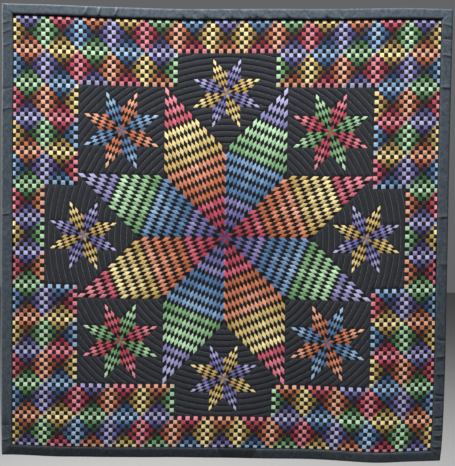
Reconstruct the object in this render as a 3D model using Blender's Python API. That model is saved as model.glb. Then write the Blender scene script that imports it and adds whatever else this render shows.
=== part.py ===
"""A square star quilt that hangs by its top edge: a quilted panel and the four strips of its wide binding.

Metres, +Z up. The quilt's front faces -Y. The origin is the middle of its top edge, at half its thickness.
Every piece is drawn flat first, as it would be cut, and then carried to the place where it hangs.
"""

import math

import bpy
import numpy as np
from mathutils.geometry import delaunay_2d_cdt

# The finished quilt
WIDTH = 1.500
HEIGHT = 1.525
BINDING_WIDTH = 0.035
PANEL_THICKNESS = 0.005
SEWING_GAP = 0.0005

# The patchwork's plan: square blocks, with the star and its black ground in the middle
BLOCKS_ACROSS = 13
STAR_BLOCKS = 9
BAY_BLOCKS = 3
DITCHES_PER_ARM = 4
CORNER_STAR_SIDE = 0.073
BAY_STAR_SIDE = 0.065

# The quilting's relief, above the stitched lines
ARC_SPACING = 0.020
ARC_CREST = 0.0024
PATCH_CREST = 0.0018
BLOCK_CREST = 0.0020
PATCH_SHOULDER = 0.009
BLOCK_SHOULDER = 0.014
ARC_MARGIN = 0.004
ARC_SPOKES = 104
ARC_PROBES = 8
BACK_STEPS = 28

# How far the middle of the top edge hangs below its corners
TOP_SAG = 0.007

# How far each edge strays from straight. Columns: place along the edge, distance outwards
TOP_EDGE = [
    (-0.75, 0.002), (-0.56, -0.0008), (-0.45, -0.004), (-0.30, -0.007), (-0.13, -0.009), (0.0, -TOP_SAG),
    (0.14, -0.0045), (0.34, -0.0025), (0.44, 0.0), (0.55, 0.003), (0.64, 0.004), (0.75, 0.002),
]
BOTTOM_EDGE = [
    (-0.75, 0.0030), (-0.61, -0.0004), (-0.50, 0.0018), (-0.39, 0.0054), (-0.28, 0.0044), (-0.17, 0.0010),
    (-0.06, -0.0005), (0.05, -0.0025), (0.15, -0.0008), (0.28, 0.0030), (0.40, 0.0080), (0.54, 0.0078),
    (0.64, 0.0030), (0.75, -0.0030),
]
LEFT_EDGE = [
    (-1.525, 0.0092), (-1.40, 0.0062), (-1.27, 0.0036), (-1.09, 0.0024), (-0.75, 0.0002), (-0.38, -0.0022),
    (-0.15, -0.0038), (0.0, -0.002),
]
RIGHT_EDGE = [
    (-1.525, -0.004), (-1.41, 0.0035), (-1.25, 0.0065), (-0.98, 0.0042), (-0.80, 0.0025), (-0.46, -0.0005),
    (-0.18, -0.0005), (0.0, 0.0),
]

# The soft upright folds. Columns: centre across the quilt, width, reach forward at the bottom, lean
FOLDS = [
    (-0.62, 0.16, 0.010, 0.04),
    (-0.30, 0.20, -0.008, -0.05),
    (0.02, 0.22, 0.009, 0.06),
    (0.33, 0.18, -0.009, 0.03),
    (0.60, 0.15, 0.012, -0.06),
]
BELLY = 0.006
CORNER_CURL = 0.014
CURL_REACH = 0.20

# The top and bottom bindings lean back from their seams, as far as this at the quilt's edge
EDGE_LEAN = 0.004

# The section of the binding. Columns: distance in from the quilt's edge, distance forward of its middle
BINDING_FRONT = [(0.0350, 0.0054), (0.0310, 0.0083), (0.0170, 0.0073), (0.0060, 0.0054), (0.0012, 0.0028)]
BINDING_BACK = [(0.0000, 0.0000), (0.0014, -0.0028), (0.0060, -0.0044), (0.0350, -0.0044)]
BINDING_POCKET = 0.005
STATIONS_PER_BLOCK = 3
STATION_GAP = 0.003

# Puckers across the binding. Columns: place from the left or the top, half width, height
TOP_PUCKERS = [
    (0.283, 0.010, 0.0012), (0.326, 0.008, 0.0013), (0.383, 0.009, 0.0010), (0.602, 0.010, 0.0013),
    (0.642, 0.009, -0.0010), (0.678, 0.011, 0.0015), (0.731, 0.009, -0.0012), (0.844, 0.011, 0.0014),
    (0.884, 0.009, -0.0013), (0.950, 0.010, 0.0014), (1.013, 0.008, -0.0012), (1.077, 0.010, 0.0013),
    (1.126, 0.009, -0.0010),
]
RIGHT_PUCKERS = [
    (0.055, 0.008, 0.0013), (0.102, 0.010, -0.0012), (0.155, 0.008, 0.0012), (0.260, 0.012, 0.0010),
    (0.690, 0.011, 0.0009), (0.850, 0.010, 0.0011), (1.110, 0.009, -0.0011), (1.165, 0.009, 0.0012),
    (1.225, 0.010, 0.0013), (1.320, 0.010, -0.0012), (1.400, 0.009, 0.0011),
]
BOTTOM_PUCKERS = [(0.350, 0.012, 0.0007), (0.720, 0.008, 0.0008), (0.834, 0.008, 0.0008)]
LEFT_PUCKERS = [
    (0.280, 0.010, -0.0010), (0.345, 0.010, 0.0010), (0.695, 0.012, 0.0008), (1.415, 0.010, -0.0009),
    (1.465, 0.010, 0.0010),
]

FIELD_WIDTH = WIDTH - 2 * BINDING_WIDTH
FIELD_HEIGHT = HEIGHT - 2 * BINDING_WIDTH
BLOCK = FIELD_WIDTH / BLOCKS_ACROSS
STRETCH = FIELD_HEIGHT / FIELD_WIDTH
STAR_SIDE = STAR_BLOCKS * BLOCK / (2 + math.sqrt(2))


def eased(rows, places):
    """A smooth curve through a table's rows of (place, value), read at the given places."""
    at, value = np.array(rows, float).T
    slope = np.gradient(value, at)
    i = np.clip(np.searchsorted(at, places) - 1, 0, len(at) - 2)
    span = at[i + 1] - at[i]
    t = np.clip((places - at[i]) / span, 0, 1)
    start = (1 + 2 * t) * (1 - t) ** 2 * value[i] + t * (1 - t) ** 2 * span * slope[i]
    end = t * t * (3 - 2 * t) * value[i + 1] + t * t * (t - 1) * span * slope[i + 1]
    return start + end


def hang(across, down):
    """Where the points of the flat quilt hang: the middle of its thickness, as rows of x, y, z."""
    low = np.clip(-down / HEIGHT, 0, 1)
    right = np.clip(across / WIDTH + 0.5, 0, 1)
    x = across + eased(RIGHT_EDGE, down) * right - eased(LEFT_EDGE, down) * (1 - right)
    z = down + TOP_SAG + eased(TOP_EDGE, across) * (1 - low) - eased(BOTTOM_EDGE, across) * low
    forward = BELLY * np.sin(math.pi * low)
    for edge in (0, -HEIGHT):
        forward = forward - EDGE_LEAN * np.clip(1 - abs(down - edge) / BINDING_WIDTH, 0, None)
    for centre, width, height, lean in FOLDS:
        away = (across - centre - lean * low) / width
        forward = forward + height * low**1.2 * np.exp(-(away**2) * 2.2)
    for side in (-1, 1):
        corner = np.hypot(across - side * WIDTH / 2, down + HEIGHT) / CURL_REACH
        forward = forward + side * CORNER_CURL * np.exp(-(corner**2) * 2.2)
    return np.stack([x, -forward, z], axis=1)


def carried(flat, offset):
    """Flat points (across, down) hung, and moved forward of the quilt's middle by their offsets."""
    flat = np.array(flat, float)
    step = 0.001
    along = hang(flat[:, 0] + step, flat[:, 1]) - hang(flat[:, 0] - step, flat[:, 1])
    up = hang(flat[:, 0], flat[:, 1] + step) - hang(flat[:, 0], flat[:, 1] - step)
    front = np.cross(along, up)
    front /= np.linalg.norm(front, axis=1)[:, None]
    return hang(flat[:, 0], flat[:, 1]) + front * np.array(offset, float)[:, None]


def on_quilt(plan):
    """Points of the square plan, centred on the star, as flat points of the quilt."""
    plan = np.array(plan, float)
    return np.stack([plan[:, 0], plan[:, 1] * STRETCH - HEIGHT / 2], axis=1)


def turned(points, angle):
    c, s = math.cos(angle), math.sin(angle)
    return [(x * c - y * s, x * s + y * c) for x, y in points]


def moved(points, centre):
    return [(x + centre[0], y + centre[1]) for x, y in points]


def inset(polygon, distance):
    """A convex polygon, its corners counter-clockwise, with each side moved in by the distance."""
    made = []
    count = len(polygon)
    for i in range(count):
        (ax, ay), (bx, by), (cx, cy) = polygon[i - 1], polygon[i], polygon[(i + 1) % count]
        first, second = math.atan2(by - ay, bx - ax), math.atan2(cy - by, cx - bx)
        half = (second - first) / 2
        middle = first + half + math.pi / 2
        reach = distance / math.cos(half)
        made.append((bx + reach * math.cos(middle), by + reach * math.sin(middle)))
    return made


def diamond(side, arm, row=0, column=0, rows=1):
    """One diamond of a star's arm: arm 0 lies between 0 and 45 degrees."""
    first = np.array([1.0, 0.0]) * side / rows
    second = np.array([1.0, 1.0]) / math.sqrt(2) * side / rows
    start = first * row + second * column
    corners = [start, start + first, start + first + second, start + second]
    return turned([tuple(c) for c in corners], arm * math.pi / 4)


class Relief:
    """Lines drawn on the plan, each point with its height above the stitching."""

    def __init__(self):
        self.points, self.heights, self.edges = [], [], []

    def line(self, points, height, closed=False):
        first = len(self.points)
        self.points += [tuple(p) for p in points]
        self.heights += [height] * len(points)
        last = len(self.points) - 1
        self.edges += [(i, i + 1) for i in range(first, last)]
        if closed:
            self.edges.append((last, first))

    def pillow(self, polygon, shoulder, crest):
        """A patch sewn down along its outline and full in its middle."""
        middle = tuple(np.mean(polygon, axis=0))
        self.line(polygon, 0.0, closed=True)
        self.line(inset(polygon, shoulder), 0.8 * crest, closed=True)
        self.line([middle], crest)


def star_centres():
    """The centres of the eight small stars and the side of each one's diamonds, with its bearing."""
    corner = (1 + math.sqrt(0.5)) * STAR_SIDE - STAR_SIDE / 2
    bay_edge = (STAR_BLOCKS / 2 + 1) * BLOCK
    bay = (bay_edge * math.sqrt(2) + STAR_SIDE) / (1 + math.sqrt(2))
    found = []
    for quarter in range(4):
        angle = quarter * math.pi / 2
        found.append((turned([(corner, corner)], angle)[0], CORNER_STAR_SIDE))
        found.append((turned([(bay, 0.0)], angle)[0], BAY_STAR_SIDE))
    return found


def in_star_arm(x, y, side):
    """True inside an eight-armed star of that diamond side, centred on the origin."""
    angle = math.atan2(y, x) % (math.pi / 4)
    far = math.hypot(x, y)
    second = far * math.sin(angle) / math.sin(math.pi / 4)
    first = far * math.cos(angle) - second * math.cos(math.pi / 4)
    return 0 <= first <= side and 0 <= second <= side


def on_ground(x, y, margin):
    """True on the black ground, at least the margin away from what borders it."""
    a, b = max(abs(x), abs(y)), min(abs(x), abs(y))
    half = STAR_BLOCKS * BLOCK / 2
    in_square = a < half - margin
    in_bay = a < half + BLOCK - margin and b < BAY_BLOCKS * BLOCK / 2 - margin
    if not (in_square or in_bay):
        return False
    around = [(x + margin * dx, y + margin * dy) for dx in (-1, 0, 1) for dy in (-1, 0, 1)]
    if any(in_star_arm(px, py, STAR_SIDE) for px, py in around):
        return False
    return not any(
        in_star_arm(px - cx, py - cy, side) for (cx, cy), side in star_centres() for px, py in around
    )


def arc_runs(radius):
    """The stretches of one quilted circle that lie on the black ground, as lists of plan points."""
    step = 2 * math.pi / (ARC_SPOKES * ARC_PROBES)
    angles = [math.pi / 8 + step * k for k in range(ARC_SPOKES * ARC_PROBES)]
    points = [(radius * math.cos(a), radius * math.sin(a)) for a in angles]
    free = [k for k, (x, y) in enumerate(points) if on_ground(x, y, ARC_MARGIN)]
    starts = [k for k in free if k - 1 not in free]
    ends = [k for k in free if k + 1 not in free]
    for start, end in zip(starts, ends):
        clear = range(start + ARC_PROBES // 3, end - ARC_PROBES // 3 + 1)
        between = [k for k in clear if k % ARC_PROBES == 0]
        if end > start:
            yield [points[k] for k in [start] + between + [end]]


def draw_star(relief, side, rows, centre, shoulder):
    for arm in range(8):
        for row in range(rows):
            for column in range(rows):
                cell = diamond(side, arm, row, column, rows)
                relief.pillow(moved(cell, centre), shoulder, PATCH_CREST)


def draw_ground(relief):
    radius = STAR_SIDE
    while radius < STAR_BLOCKS * BLOCK / math.sqrt(2):
        for run in arc_runs(radius):
            relief.line(run, 0.0)
        for run in arc_runs(radius + ARC_SPACING / 2):
            relief.line(run, ARC_CREST)
        radius += ARC_SPACING


def border_cells():
    """Each block of the border as (column, row): all but the star's square and its four bays."""
    middle = BLOCKS_ACROSS // 2
    for column in range(BLOCKS_ACROSS):
        for row in range(BLOCKS_ACROSS):
            far_out = max(abs(column - middle), abs(row - middle))
            off_axis = min(abs(column - middle), abs(row - middle))
            in_square = far_out <= STAR_BLOCKS // 2
            in_bay = far_out == STAR_BLOCKS // 2 + 1 and off_axis <= BAY_BLOCKS // 2
            if not (in_square or in_bay):
                yield column, row


def draw_border(relief):
    half = BLOCK / 2
    flat_side = half * (math.sqrt(2) - 1)
    octagon = [(half, -flat_side), (half, flat_side), (flat_side, half), (-flat_side, half),
               (-half, flat_side), (-half, -flat_side), (-flat_side, -half), (flat_side, -half)]
    square = [(-half, -half), (half, -half), (half, half), (-half, half)]
    for column, row in border_cells():
        centre = ((column + 0.5) * BLOCK - FIELD_WIDTH / 2, (row + 0.5) * BLOCK - FIELD_WIDTH / 2)
        relief.line(moved(square, centre), 0.0, closed=True)
        relief.line(moved(inset(octagon, BLOCK_SHOULDER), centre), BLOCK_CREST, closed=True)
        relief.line([centre], 0.7 * BLOCK_CREST)


def from_other_end(puckers, length):
    return [(length - place, half_width, height) for place, half_width, height in puckers]


def edges_round():
    """Each edge, counter-clockwise from the bottom: its strip's name, length, puckers and flat places."""
    half = WIDTH / 2
    return [
        ("binding_bottom", WIDTH, BOTTOM_PUCKERS, lambda a, inward: (a - half, inward - HEIGHT)),
        ("binding_right", HEIGHT, from_other_end(RIGHT_PUCKERS, HEIGHT),
         lambda a, inward: (half - inward, a - HEIGHT)),
        ("binding_top", WIDTH, from_other_end(TOP_PUCKERS, WIDTH), lambda a, inward: (half - a, -inward)),
        ("binding_left", HEIGHT, LEFT_PUCKERS, lambda a, inward: (inward - half, -a)),
    ]


def stations(length, puckers):
    """Places along an edge, clear of its corners: three to a block, one at each end, three across a pucker."""
    count = BLOCKS_ACROSS * STATIONS_PER_BLOCK
    ends = [BINDING_WIDTH + STATION_GAP, length - BINDING_WIDTH - STATION_GAP]
    even = [BINDING_WIDTH + (length - 2 * BINDING_WIDTH) * k / count for k in range(1, count)]
    extra = [place + side * half for place, half, _ in puckers for side in (-1.2, 0, 1.2)]
    extra = [p for p in extra if even[0] < p < even[-1] and min(abs(p - q) for q in even) > STATION_GAP]
    return sorted(ends + even + extra)


def frame_points(inward):
    """Round the quilt, counter-clockwise, at a distance in: each corner, then the edge's stations."""
    points = []
    for _, length, puckers, place in edges_round():
        points.append(place(inward, inward))
        points += [place(a, inward) for a in stations(length, puckers)]
    return points


def surface(points, edges, heights):
    """Triangles through flat points and lines: points, heights, triangles and each point's sources."""
    made, _, triangles, origins, _, _ = delaunay_2d_cdt([tuple(p) for p in points], edges, [], 0, 1e-6)
    height = [heights[o[0]] if o else 0.0 for o in origins]
    return [tuple(p) for p in made], height, [list(t) for t in triangles], origins


def panel_front():
    """The quilted front: the plan's relief, and round it the flat margin that the binding covers."""
    relief = Relief()
    draw_star(relief, STAR_SIDE, DITCHES_PER_ARM, (0.0, 0.0), PATCH_SHOULDER)
    for centre, side in star_centres():
        draw_star(relief, side, 1, centre, PATCH_SHOULDER)
    draw_ground(relief)
    draw_border(relief)
    points, edges, count = framed()
    heights = [0.0] * len(points) + relief.heights
    edges += [(a + len(points), b + len(points)) for a, b in relief.edges]
    points += [tuple(p) for p in on_quilt(relief.points)]
    return surface(points, edges, heights) + (count,)


def panel_back():
    points, edges, count = framed()
    across = np.linspace(BINDING_WIDTH - WIDTH / 2, WIDTH / 2 - BINDING_WIDTH, BACK_STEPS + 1)[1:-1]
    down = np.linspace(BINDING_WIDTH - HEIGHT, -BINDING_WIDTH, BACK_STEPS + 1)[1:-1]
    points += [(float(a), float(d)) for a in across for d in down]
    return surface(points, edges, [0.0] * len(points)) + (count,)


def framed():
    """The panel's own edge and the line where the binding's inner edge lies on it, as points and edges."""
    rim = frame_points(BINDING_POCKET)
    inner = frame_points(BINDING_WIDTH)
    count = len(rim)
    edges = [(i, (i + 1) % count) for i in range(count)]
    edges += [(count + i, count + (i + 1) % count) for i in range(count)]
    return rim + inner, edges, count


def rim_order(origins, count):
    """Where each point of the panel's edge ended up among a surface's points."""
    found = [None] * count
    for made, sources in enumerate(origins):
        for source in sources:
            if source < count:
                found[source] = made
    return found


def build_panel():
    front, front_height, front_faces, front_origins, count = panel_front()
    back, _, back_faces, back_origins, _ = panel_back()
    half = PANEL_THICKNESS / 2
    points = np.concatenate([
        carried(front, [half + h for h in front_height]),
        carried(back, [-half] * len(back)),
    ])
    offset = len(front)
    faces = front_faces + [[i + offset for i in reversed(f)] for f in back_faces]
    front_rim = rim_order(front_origins, count)
    back_rim = [i + offset for i in rim_order(back_origins, count)]
    for i in range(count):
        j = (i + 1) % count
        faces.append([front_rim[j], front_rim[i], back_rim[i], back_rim[j]])
    return make_object("quilted_panel", points, faces, patchwork_cloth())


def binding_profile():
    """Round a strip's section: the front, the outer edge, the back, and the pocket that the panel fills."""
    pocket = PANEL_THICKNESS / 2 + SEWING_GAP
    bottom = BINDING_POCKET - SEWING_GAP
    inner = [(BINDING_WIDTH, -pocket), (bottom, -pocket), (bottom, pocket), (BINDING_WIDTH, pocket)]
    return BINDING_FRONT + BINDING_BACK + inner


def pucker(places, inward, puckers):
    """How far its puckers raise a strip's front, at places along it and a distance in from the edge."""
    across = math.sin(math.pi * min(max(inward / BINDING_WIDTH, 0), 1))
    raised = np.zeros(len(places))
    for centre, half_width, height in puckers:
        raised += height * np.exp(-(((places - centre) / half_width) ** 2))
    return raised * across


def build_strip(name, length, puckers, place):
    """One strip of binding, its ends mitred."""
    rings = []
    for number, (inward, forward) in enumerate(binding_profile()):
        mitre = inward + SEWING_GAP
        along = np.array([mitre] + stations(length, puckers) + [length - mitre])
        on_front = number < len(BINDING_FRONT)
        raised = pucker(along, inward, puckers) if on_front else np.zeros(len(along))
        rings.append(carried([place(a, inward) for a in along], forward + raised))
    points = np.concatenate(rings)
    count, around = len(rings[0]), len(rings)
    faces = [[i * count for i in reversed(range(around))], [i * count + count - 1 for i in range(around)]]
    for i in range(around):
        near, far = i * count, (i + 1) % around * count
        faces += [[near + k, far + k, far + k + 1, near + k + 1] for k in range(count - 1)]
    return make_object(name, points, faces, binding_cloth())


def cloth(name, colour, roughness):
    material = bpy.data.materials.new(name)
    material.use_nodes = True
    shader = material.node_tree.nodes["Principled BSDF"]
    shader.inputs["Base Color"].default_value = (*colour, 1)
    shader.inputs["Roughness"].default_value = roughness
    shader.inputs["Metallic"].default_value = 0.0
    return material


def patchwork_cloth():
    return cloth("black_patchwork_cotton", (0.045, 0.045, 0.055), 0.9)


def binding_cloth():
    return cloth("slate_binding_cotton", (0.075, 0.095, 0.110), 0.85)


def make_object(name, points, faces, material):
    mesh = bpy.data.meshes.new(name)
    mesh.from_pydata([tuple(map(float, p)) for p in points], [], faces)
    mesh.validate()
    mesh.materials.append(material)
    made = bpy.data.objects.new(name, mesh)
    bpy.context.scene.collection.objects.link(made)
    mesh.shade_smooth()
    mesh.set_sharp_from_angle(angle=math.radians(40))
    return made


def main():
    for old in list(bpy.data.objects):
        bpy.data.objects.remove(old)
    build_panel()
    for name, length, puckers, place in edges_round():
        build_strip(name, length, puckers, place)


main()
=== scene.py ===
"""Dresses the hanging star quilt: its patchwork, its quilting stitches and its padded binding.

Metres, +Z up, front facing -Y. Each piece is worked out flat, as it is sewn, and carried to where it hangs.
The plan is the patchwork's own square, centred on the large star.
"""

import math

import bpy
import numpy as np
from mathutils import Matrix, Vector
from mathutils.geometry import delaunay_2d_cdt


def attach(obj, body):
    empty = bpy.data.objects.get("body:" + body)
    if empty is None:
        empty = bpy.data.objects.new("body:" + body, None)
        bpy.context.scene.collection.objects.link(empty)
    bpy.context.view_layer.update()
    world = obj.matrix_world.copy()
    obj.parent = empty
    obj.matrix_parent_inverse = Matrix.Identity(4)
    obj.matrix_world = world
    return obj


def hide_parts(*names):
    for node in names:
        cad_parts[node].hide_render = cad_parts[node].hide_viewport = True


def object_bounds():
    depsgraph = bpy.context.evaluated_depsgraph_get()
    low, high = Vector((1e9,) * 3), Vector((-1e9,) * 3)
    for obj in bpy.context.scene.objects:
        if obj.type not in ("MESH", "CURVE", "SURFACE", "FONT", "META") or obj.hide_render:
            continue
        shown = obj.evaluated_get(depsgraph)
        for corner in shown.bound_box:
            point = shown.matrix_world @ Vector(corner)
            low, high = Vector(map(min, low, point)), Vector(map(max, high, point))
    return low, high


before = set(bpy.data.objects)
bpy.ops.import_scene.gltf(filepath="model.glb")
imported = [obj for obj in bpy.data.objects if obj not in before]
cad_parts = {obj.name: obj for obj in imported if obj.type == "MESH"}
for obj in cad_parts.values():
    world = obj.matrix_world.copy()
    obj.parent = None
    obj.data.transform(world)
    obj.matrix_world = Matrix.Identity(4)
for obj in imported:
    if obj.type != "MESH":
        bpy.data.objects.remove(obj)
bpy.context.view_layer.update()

# The quilt, as its solids are made
WIDTH = 1.500
HEIGHT = 1.525
BINDING_WIDTH = 0.035
BINDING_POCKET = 0.005
PANEL_THICKNESS = 0.005
SEWING_GAP = 0.0005
BLOCKS_ACROSS = 13
STAR_BLOCKS = 9
BAY_BLOCKS = 3
CORNER_STAR_SIDE = 0.073
BAY_STAR_SIDE = 0.065
TOP_SAG = 0.007
ARC_SPACING = 0.020

# How far each edge strays from straight. Columns: place along the edge, distance outwards
TOP_EDGE = [
    (-0.75, 0.002), (-0.56, -0.0008), (-0.45, -0.004), (-0.30, -0.007), (-0.13, -0.009), (0.0, -TOP_SAG),
    (0.14, -0.0045), (0.34, -0.0025), (0.44, 0.0), (0.55, 0.003), (0.64, 0.004), (0.75, 0.002),
]
BOTTOM_EDGE = [
    (-0.75, 0.0030), (-0.61, -0.0004), (-0.50, 0.0018), (-0.39, 0.0054), (-0.28, 0.0044), (-0.17, 0.0010),
    (-0.06, -0.0005), (0.05, -0.0025), (0.15, -0.0008), (0.28, 0.0030), (0.40, 0.0080), (0.54, 0.0078),
    (0.64, 0.0030), (0.75, -0.0030),
]
LEFT_EDGE = [
    (-1.525, 0.0092), (-1.40, 0.0062), (-1.27, 0.0036), (-1.09, 0.0024), (-0.75, 0.0002), (-0.38, -0.0022),
    (-0.15, -0.0038), (0.0, -0.002),
]
RIGHT_EDGE = [
    (-1.525, -0.004), (-1.41, 0.0035), (-1.25, 0.0065), (-0.98, 0.0042), (-0.80, 0.0025), (-0.46, -0.0005),
    (-0.18, -0.0005), (0.0, 0.0),
]

# The soft upright folds. Columns: centre across the quilt, width, reach forward at the bottom, lean
FOLDS = [
    (-0.62, 0.16, 0.010, 0.04),
    (-0.30, 0.20, -0.008, -0.05),
    (0.02, 0.22, 0.009, 0.06),
    (0.33, 0.18, -0.009, 0.03),
    (0.60, 0.15, 0.012, -0.06),
]
# The power by which the folds grow towards the foot, and how quickly folds and curled corners fade sideways
FOLD_GROWTH = 1.2
FOLD_TAPER = 2.2
BELLY = 0.006
CORNER_CURL = 0.014
CURL_REACH = 0.20

# The top and bottom bindings lean back from their seams, as far as this at the quilt's edge
EDGE_LEAN = 0.004

# Puckers across the binding. Columns: place from the left or the top, half width, height
TOP_PUCKERS = [
    (0.283, 0.010, 0.0012), (0.326, 0.008, 0.0013), (0.383, 0.009, 0.0010), (0.602, 0.010, 0.0013),
    (0.642, 0.009, -0.0010), (0.678, 0.011, 0.0015), (0.731, 0.009, -0.0012), (0.763, 0.007, 0.0009),
    (0.796, 0.008, -0.0010), (0.820, 0.006, 0.0008), (0.844, 0.011, 0.0014), (0.884, 0.009, -0.0013),
    (0.950, 0.010, 0.0014), (1.013, 0.008, -0.0012), (1.077, 0.010, 0.0013), (1.126, 0.009, -0.0010),
]
RIGHT_PUCKERS = [
    (0.055, 0.008, 0.0013), (0.102, 0.010, -0.0012), (0.155, 0.008, 0.0012), (0.260, 0.012, 0.0010),
    (0.690, 0.011, 0.0009), (0.850, 0.010, 0.0011), (1.110, 0.009, -0.0011), (1.165, 0.009, 0.0012),
    (1.225, 0.010, 0.0013), (1.300, 0.006, -0.0008), (1.320, 0.010, -0.0012), (1.377, 0.007, -0.0010),
    (1.400, 0.009, 0.0011), (1.420, 0.006, -0.0009), (1.436, 0.006, 0.0008), (1.453, 0.006, -0.0010),
    (1.474, 0.007, 0.0009),
]
BOTTOM_PUCKERS = [(0.350, 0.012, 0.0007), (0.720, 0.008, 0.0008), (0.834, 0.008, 0.0008)]
LEFT_PUCKERS = [
    (0.063, 0.009, 0.0009), (0.092, 0.008, 0.0009), (0.136, 0.010, 0.0008), (0.280, 0.010, -0.0010),
    (0.345, 0.010, 0.0010), (0.695, 0.012, 0.0008), (1.415, 0.010, -0.0009), (1.465, 0.010, 0.0010),
]

# Relief of the quilted face
ARC_CREST = 0.0024
ARC_ROUNDNESS = 0.7
PATCH_CREST = 0.0018
BLOCK_CREST = 0.0020
PILLOW_CREST = 0.00045
DITCH_REACH = 0.009
SEAM_INSET = 0.0016
DITCHES_PER_ARM = 4

# The patchwork. The ring tones go from a border block's middle to its seams
STAR_ROWS = 16
SMALL_STAR_ROWS = 5
CHECKS = 8
RING_TONES = [0.12, 0.34, 0.60, 0.92]
# The width of the blocks' outer strip that is painted black: painted shadow under the binding's lip
PAINTED_SHADOW_STRIP = 0.0045

# The camera, from the four corners of the quilt in the photograph
LENS_MM = 60.0
SENSOR_MM = 36.0
CAMERA_PLACE = (0.0006, -2.6152, -0.5924)
CAMERA_YAW = -0.203
CAMERA_PITCH = -3.333
CAMERA_ROLL = -0.723

FIELD_WIDTH = WIDTH - 2 * BINDING_WIDTH
FIELD_HEIGHT = HEIGHT - 2 * BINDING_WIDTH
BLOCK = FIELD_WIDTH / BLOCKS_ACROSS
STRETCH = FIELD_HEIGHT / FIELD_WIDTH
STAR_SIDE = STAR_BLOCKS * BLOCK / (2 + math.sqrt(2))
GROUND_HALF = STAR_BLOCKS * BLOCK / 2

# The dyed cottons, dark to pale, as sRGB values from 0 to 1
DYES = {
    "gold": [(0.17, 0.13, 0.06), (0.46, 0.37, 0.19), (0.74, 0.62, 0.36), (0.90, 0.83, 0.60)],
    "orange": [(0.18, 0.08, 0.06), (0.46, 0.24, 0.16), (0.74, 0.43, 0.30), (0.89, 0.67, 0.56)],
    "crimson": [(0.17, 0.05, 0.07), (0.44, 0.13, 0.18), (0.71, 0.28, 0.35), (0.87, 0.54, 0.58)],
    "purple": [(0.11, 0.10, 0.19), (0.25, 0.23, 0.40), (0.43, 0.41, 0.62), (0.68, 0.67, 0.82)],
    "blue": [(0.07, 0.11, 0.19), (0.16, 0.26, 0.40), (0.34, 0.47, 0.62), (0.60, 0.72, 0.83)],
    "green": [(0.08, 0.14, 0.08), (0.22, 0.36, 0.21), (0.44, 0.61, 0.42), (0.70, 0.84, 0.68)],
}
HUES = ["gold", "orange", "crimson", "purple", "blue", "green"]
BLACK = (0.085, 0.085, 0.095)
GROUND_BLACK = (0.150, 0.160, 0.178)
BACKING = (0.120, 0.122, 0.130)
SLATE = (0.220, 0.268, 0.312)
FADED_SLATE = (0.265, 0.285, 0.301)
THREAD = (0.50, 0.51, 0.54)

# The large star's rings of colour, from its middle out. Columns: hue, first tone, last tone
WARM_BANDS = [
    ("crimson", 0.28, 0.76), ("orange", 0.52, 0.86), ("gold", 0.68, 1.00), ("crimson", 0.64, 1.00),
]
COOL_BANDS = [
    ("purple", 0.28, 0.76), ("blue", 0.52, 0.86), ("green", 0.68, 1.00), ("purple", 0.68, 1.00),
]
SMALL_STAR_TONES = (0.40, 1.00)

# How much paler an arm's spine is, and how far the tones of single patches stray
SPINE_PALENESS = 0.10
DIAMOND_STRAY = 0.04
CHECK_STRAY = 0.06
BLACK_STRAY = 0.3

rng = np.random.default_rng(11976)


def linear(colour):
    """An sRGB colour as linear light."""
    c = np.array(colour, float)
    return np.where(c <= 0.04045, c / 12.92, ((c + 0.055) / 1.055) ** 2.4)


def dye(hue, tone):
    """A hue's cotton at a tone from 0, dark, to 1, pale, in linear light."""
    steps = linear(DYES[hue])
    place = min(max(tone, 0.0), 1.0) * (len(steps) - 1)
    low = min(int(place), len(steps) - 2)
    return steps[low] * (low + 1 - place) + steps[low + 1] * (place - low)


# Where the cloth hangs


def eased(rows, places):
    """A smooth curve through a table's rows of (place, value), read at the given places."""
    at, value = np.array(rows, float).T
    slope = np.gradient(value, at)
    i = np.clip(np.searchsorted(at, places) - 1, 0, len(at) - 2)
    span = at[i + 1] - at[i]
    t = np.clip((places - at[i]) / span, 0, 1)
    start = (1 + 2 * t) * (1 - t) ** 2 * value[i] + t * (1 - t) ** 2 * span * slope[i]
    end = t * t * (3 - 2 * t) * value[i + 1] + t * t * (t - 1) * span * slope[i + 1]
    return start + end


def hang(across, down):
    """Where the points of the flat quilt hang: the middle of its thickness, as rows of x, y, z."""
    low = np.clip(-down / HEIGHT, 0, 1)
    right = np.clip(across / WIDTH + 0.5, 0, 1)
    x = across + eased(RIGHT_EDGE, down) * right - eased(LEFT_EDGE, down) * (1 - right)
    z = down + TOP_SAG + eased(TOP_EDGE, across) * (1 - low) - eased(BOTTOM_EDGE, across) * low
    forward = BELLY * np.sin(math.pi * low)
    for edge in (0, -HEIGHT):
        forward = forward - EDGE_LEAN * np.clip(1 - abs(down - edge) / BINDING_WIDTH, 0, None)
    for centre, width, height, lean in FOLDS:
        away = (across - centre - lean * low) / width
        forward = forward + height * low**FOLD_GROWTH * np.exp(-(away**2) * FOLD_TAPER)
    for side in (-1, 1):
        corner = np.hypot(across - side * WIDTH / 2, down + HEIGHT) / CURL_REACH
        forward = forward + side * CORNER_CURL * np.exp(-(corner**2) * FOLD_TAPER)
    return np.stack([x, -forward, z], axis=1)


def facing(flat):
    """The cloth's forward direction at flat points."""
    step = 0.001
    along = hang(flat[:, 0] + step, flat[:, 1]) - hang(flat[:, 0] - step, flat[:, 1])
    up = hang(flat[:, 0], flat[:, 1] + step) - hang(flat[:, 0], flat[:, 1] - step)
    front = np.cross(along, up)
    return front / np.linalg.norm(front, axis=1)[:, None]


def carried(flat, offset):
    """Flat points (across, down) hung, and moved forward of the quilt's middle by their offsets."""
    flat = np.array(flat, float)
    return hang(flat[:, 0], flat[:, 1]) + facing(flat) * np.array(offset, float)[:, None]


def on_quilt(plan):
    """Points of the square plan, centred on the star, as flat points of the quilt."""
    plan = np.array(plan, float)
    return np.stack([plan[:, 0], plan[:, 1] * STRETCH - HEIGHT / 2], axis=1)


# The plan's shapes


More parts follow.
